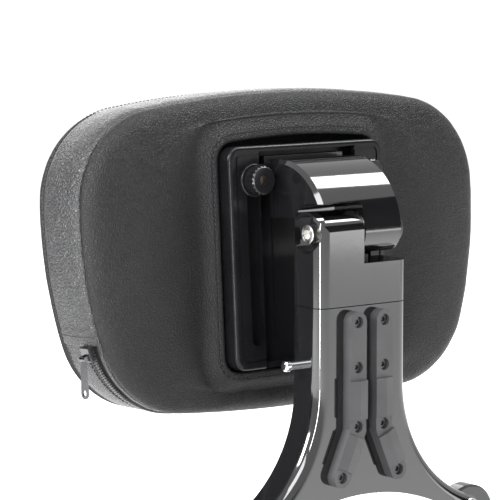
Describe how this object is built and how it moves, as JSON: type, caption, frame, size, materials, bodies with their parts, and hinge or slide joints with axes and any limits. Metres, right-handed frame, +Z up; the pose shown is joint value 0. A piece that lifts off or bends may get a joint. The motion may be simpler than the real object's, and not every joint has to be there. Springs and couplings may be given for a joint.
{
  "type": "adjustable padded backrest",
  "caption": "Leather-covered back pad that tilts and slides for height on a gloss black wishbone bracket with twin clamp knobs, rear rails and bolt-on side plates.",
  "frame": {"origin": "centre of the four mounting holes, on the front face of the two side plates", "axes": "+X to the right as seen from behind, +Y forward towards the side that is leaned on, +Z up"},
  "size_m": [0.33, 0.1535, 0.3559],
  "materials": {
    "gloss_black_paint": "high gloss black paint on cast aluminium",
    "chrome_plate": "polished chrome plate",
    "zinc_steel": "turned and zinc plated steel",
    "black_rail": "matte dark grey powder coat",
    "black_cap": "satin black",
    "hub_plate_paint": "gloss black paint",
    "brass_insert": "plain turned brass",
    "black_rubber": "matte",
    "knob_black": "satin black, knurled rim",
    "frame_black": "satin black moulding",
    "guide_plastic": "smooth sliding plastic",
    "board": "bare plywood",
    "foam": "open-cell foam",
    "black_leather": "grained black leather, low sheen",
    "zip_tape": "woven black tape",
    "zip_teeth": "moulded teeth"
  },
  "bodies": {
    "arm": {"post_block": "gloss_black_paint", "tilt_stop": "black_rubber", "wishbone": "gloss_black_paint", "draw_bolt": "zinc_steel", "post_dowels": "zinc_steel", "stem_left": "chrome_plate", "stem_right": "chrome_plate", "side_stud": "zinc_steel", "rail_left": "black_rail", "rail_right": "black_rail", "rail_screws": "zinc_steel", "hub_plate_left": "hub_plate_paint", "hub_plate_right": "hub_plate_paint", "lug_bolts": "chrome_plate", "dock_posts": "chrome_plate", "pivot_bolt": "zinc_steel", "cap_nut": "black_cap", "thrust_washer": "zinc_steel"},
    "head": {"hinge_bush": "brass_insert", "hinge_head": "gloss_black_paint", "carriage_plate": "zinc_steel", "head_screws": "zinc_steel", "clamp_studs": "zinc_steel"},
    "knob_left": {"knob_left": "knob_black", "knob_insert_left": "brass_insert"},
    "knob_right": {"knob_right": "knob_black", "knob_insert_right": "brass_insert"},
    "pad": {"slide_frame": "frame_black", "channel_floor": "frame_black", "guide_strip_left": "guide_plastic", "guide_strip_right": "guide_plastic", "frame_screws": "zinc_steel", "back_board": "board", "pad_foam": "foam", "rear_padding": "foam", "cover_back": "black_leather", "cover_band": "black_leather", "cover_front": "black_leather", "zipper_tape": "zip_tape", "zipper_teeth": "zip_teeth", "zipper_slider": "chrome_plate"},
    "zip_pull": {"zipper_pull": "chrome_plate"}
  },
  "joints": [
    {"name": "tilt", "type": "hinge", "parent": "arm", "child": "head", "pos_m": [0, -0.0266, 0.24], "axis": [1, 0, 0], "range_deg": [-9, 25]},
    {"name": "height", "type": "slide", "parent": "head", "child": "pad", "axis": [0, 0.0645, 0.9979], "range_m": [0, 0.104]},
    {"name": "knob_left_turn", "type": "hinge", "parent": "head", "child": "knob_left", "pos_m": [-0.0462, 0.01797, 0.27219], "axis": [0, -0.9979, 0.0645], "range_deg": [0, 270]},
    {"name": "knob_right_turn", "type": "hinge", "parent": "head", "child": "knob_right", "pos_m": [0.0462, 0.01797, 0.27219], "axis": [0, -0.9979, 0.0645], "range_deg": [0, 270]},
    {"name": "zip_pull_swing", "type": "hinge", "parent": "pad", "child": "zip_pull", "pos_m": [-0.15859, 0.04955, 0.1609], "axis": [0, 0.9979, -0.0645], "range_deg": [-5, 120]}
  ]
}
